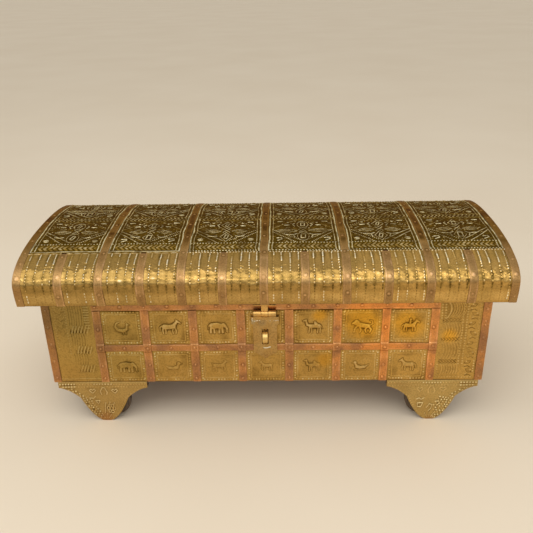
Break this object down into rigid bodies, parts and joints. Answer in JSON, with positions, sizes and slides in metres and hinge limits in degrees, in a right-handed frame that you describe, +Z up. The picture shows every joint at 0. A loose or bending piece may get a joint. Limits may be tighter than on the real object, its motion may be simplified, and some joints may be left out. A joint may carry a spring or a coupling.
{
  "type": "domed wooden chest",
  "caption": "Wooden dowry chest clad in embossed brass and copper straps, with a hinged domed lid, a hasp over a staple, bracket feet and small wheels.",
  "frame": {"origin": "on the floor under the middle of the lid", "axes": "+X along the length to the right of someone facing the front, +Y from front to back, +Z up; the front with the hasp faces -Y"},
  "size_m": [0.43, 0.188, 0.1698],
  "materials": {
    "brass_sheet": "embossed sheet, worn polish",
    "lid_brass": "embossed sheet with dark olive patina in the hollows",
    "copper_strap": "copper strip, warm brown, worn bright on the edges",
    "brass_fittings": "dull, handled brass",
    "box_wood": "bare, oiled with age",
    "foot_wood": "dark stained",
    "wheel_wood": "turned, nearly black with age",
    "iron": "dark forged rod"
  },
  "bodies": {
    "chest": {"body_sheet": "brass_sheet", "front_left_foot_plate": "brass_sheet", "front_right_foot_plate": "brass_sheet", "front_top_strap": "copper_strap", "front_cross_strap": "copper_strap", "front_strap_1": "copper_strap", "front_strap_2": "copper_strap", "front_strap_3": "copper_strap", "front_strap_4": "copper_strap", "front_strap_5": "copper_strap", "front_strap_6": "copper_strap", "front_strap_7": "copper_strap", "front_strap_8": "copper_strap", "front_left_corner_strap": "copper_strap", "front_right_corner_strap": "copper_strap", "left_straps": "copper_strap", "right_straps": "copper_strap", "back_straps": "copper_strap", "staple": "brass_fittings", "hinge_left_body_leaf": "brass_fittings", "hinge_right_body_leaf": "brass_fittings", "front_board": "box_wood", "back_board": "box_wood", "left_board": "box_wood", "right_board": "box_wood", "bottom_board": "box_wood", "front_left_foot": "foot_wood", "front_right_foot": "foot_wood", "back_left_foot": "foot_wood", "back_right_foot": "foot_wood", "left_axle": "iron", "right_axle": "iron"},
    "lid": {"lid_shell": "box_wood", "lid_left_end": "box_wood", "lid_right_end": "box_wood", "lid_frame": "box_wood", "lid_sheet": "lid_brass", "lid_left_end_sheet": "brass_sheet", "lid_right_end_sheet": "brass_sheet", "lid_long_strap_1": "copper_strap", "lid_short_strap_2": "copper_strap", "lid_long_strap_3": "copper_strap", "lid_short_strap_4": "copper_strap", "lid_long_strap_5": "copper_strap", "lid_short_strap_6": "copper_strap", "lid_long_strap_7": "copper_strap", "lid_short_strap_8": "copper_strap", "lid_long_strap_9": "copper_strap", "lid_short_strap_10": "copper_strap", "lid_long_strap_11": "copper_strap", "lid_short_strap_12": "copper_strap", "lid_long_strap_13": "copper_strap", "hinge_left_lid_leaf": "brass_fittings", "hinge_right_lid_leaf": "brass_fittings", "hasp_leaf": "brass_fittings"},
    "hasp": {"hasp_plate": "brass_fittings"},
    "wheel_front_left": {"wheel_front_left": "wheel_wood"},
    "wheel_front_right": {"wheel_front_right": "wheel_wood"},
    "wheel_back_left": {"wheel_back_left": "wheel_wood"},
    "wheel_back_right": {"wheel_back_right": "wheel_wood"}
  },
  "joints": [
    {"name": "lid_hinge", "type": "hinge", "parent": "chest", "child": "lid", "pos_m": [0, 0.0874, 0.1226], "axis": [-1, 0, 0], "range_deg": [0, 130]},
    {"name": "hasp_swing", "type": "hinge", "parent": "lid", "child": "hasp", "pos_m": [0, -0.0892, 0.1163], "axis": [-1, 0, 0], "range_deg": [0, 165]},
    {"name": "wheel_front_left_spin", "type": "hinge", "parent": "chest", "child": "wheel_front_left", "pos_m": [-0.1475, -0.0748, 0.0178], "axis": [0, 1, 0], "continuous": true},
    {"name": "wheel_front_right_spin", "type": "hinge", "parent": "chest", "child": "wheel_front_right", "pos_m": [0.1475, -0.0748, 0.0178], "axis": [0, 1, 0], "continuous": true},
    {"name": "wheel_back_left_spin", "type": "hinge", "parent": "chest", "child": "wheel_back_left", "pos_m": [-0.1475, 0.0748, 0.0178], "axis": [0, 1, 0], "continuous": true},
    {"name": "wheel_back_right_spin", "type": "hinge", "parent": "chest", "child": "wheel_back_right", "pos_m": [0.1475, 0.0748, 0.0178], "axis": [0, 1, 0], "continuous": true}
  ]
}
